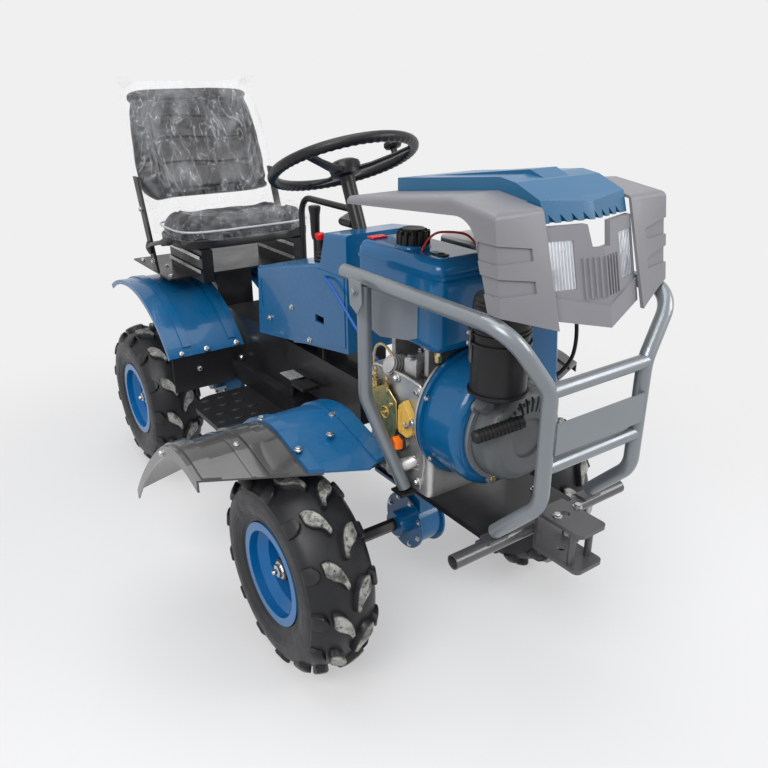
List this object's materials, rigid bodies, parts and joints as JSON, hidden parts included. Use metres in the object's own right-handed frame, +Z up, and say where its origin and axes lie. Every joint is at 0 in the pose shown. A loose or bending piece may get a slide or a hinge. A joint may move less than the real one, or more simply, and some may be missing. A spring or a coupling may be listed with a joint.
{
  "type": "articulated mini tractor",
  "caption": "Small four-wheel-drive mini tractor that bends at a waist pivot to steer, with an open diesel engine, tube bumper, hood, seat and four lugged wheels.",
  "frame": {"origin": "on the ground under the middle of the whole vehicle", "axes": "+Z up, the vehicle's front towards -Y, its right side towards -X"},
  "size_m": [1.068, 1.883, 1.2032],
  "materials": {
    "tyre_rubber": "moulded tread, matt",
    "blue_paint": "gloss blue enamel",
    "black_steel": "satin black enamel",
    "grey_paint": "satin grey enamel",
    "pale_grey_paint": "satin pale grey enamel",
    "dark_grey_paint": "gloss dark grey enamel",
    "grey_plastic": "moulded grey plastic",
    "black_plastic": "moulded black plastic",
    "cast_aluminium": "cast and machined",
    "lamp_glass": "clear lens",
    "black_rubber": "flat sheet",
    "seat_vinyl": "black grained vinyl"
  },
  "bodies": {
    "root": {"rear_chassis": "black_steel", "gearbox": "black_steel", "rear_drive_case": "blue_paint", "dash_cover": "blue_paint", "steering_column": "black_steel", "hand_rail": "black_steel", "gear_levers": "black_plastic", "foot_pedal": "grey_paint", "footboards": "black_steel", "rear_fenders": "blue_paint", "mudguards": "black_rubber", "seat_frame": "black_steel", "seat_arms": "black_steel", "seat_cushion": "seat_vinyl", "seat_back": "seat_vinyl"},
    "front_unit": {"front_drive_case": "blue_paint", "front_chassis": "black_steel", "bumper_frame": "grey_paint", "bumper_struts": "grey_paint", "bumper_panel": "pale_grey_paint", "front_hitch": "grey_paint", "hood_shell": "grey_plastic", "hood_top_panel": "blue_paint", "hood_grille": "grey_plastic", "headlamps": "lamp_glass", "engine_block": "cast_aluminium", "fan_cowl": "blue_paint", "recoil_starter": "grey_plastic", "fuel_tank": "blue_paint", "tank_cap": "black_plastic", "air_filter": "black_steel", "exhaust_muffler": "black_steel", "front_fender_inner": "blue_paint", "front_fender_outer": "dark_grey_paint"},
    "steering_wheel": {"steering_wheel": "black_plastic"},
    "wheel_front_right": {"tyre_front_right": "tyre_rubber", "rim_front_right": "blue_paint", "shaft_front_right": "black_steel"},
    "wheel_front_left": {"tyre_front_left": "tyre_rubber", "rim_front_left": "blue_paint", "shaft_front_left": "black_steel"},
    "wheel_rear_right": {"tyre_rear_right": "tyre_rubber", "rim_rear_right": "blue_paint", "shaft_rear_right": "black_steel"},
    "wheel_rear_left": {"tyre_rear_left": "tyre_rubber", "rim_rear_left": "blue_paint", "shaft_rear_left": "black_steel"}
  },
  "joints": [
    {"name": "waist_steer", "type": "hinge", "parent": "root", "child": "front_unit", "pos_m": [0, -0.0715, 0.384], "axis": [0, 0, 1], "range_deg": [-25, 25]},
    {"name": "steering_turn", "type": "hinge", "parent": "root", "child": "steering_wheel", "pos_m": [0, -0.1315, 1.042], "axis": [0, 0.4067, 0.9135], "range_deg": [-300, 300]},
    {"name": "spin_front_right", "type": "hinge", "parent": "front_unit", "child": "wheel_front_right", "pos_m": [-0.326, -0.4215, 0.24], "axis": [1, 0, 0], "continuous": true},
    {"name": "spin_front_left", "type": "hinge", "parent": "front_unit", "child": "wheel_front_left", "pos_m": [0.326, -0.4215, 0.24], "axis": [1, 0, 0], "continuous": true},
    {"name": "spin_rear_right", "type": "hinge", "parent": "root", "child": "wheel_rear_right", "pos_m": [-0.252, 0.6735, 0.24], "axis": [1, 0, 0], "continuous": true},
    {"name": "spin_rear_left", "type": "hinge", "parent": "root", "child": "wheel_rear_left", "pos_m": [0.252, 0.6735, 0.24], "axis": [1, 0, 0], "continuous": true}
  ],
  "couplings": [
    {"joint": "steering_turn", "follows": "waist_steer", "ratio": 12}
  ]
}
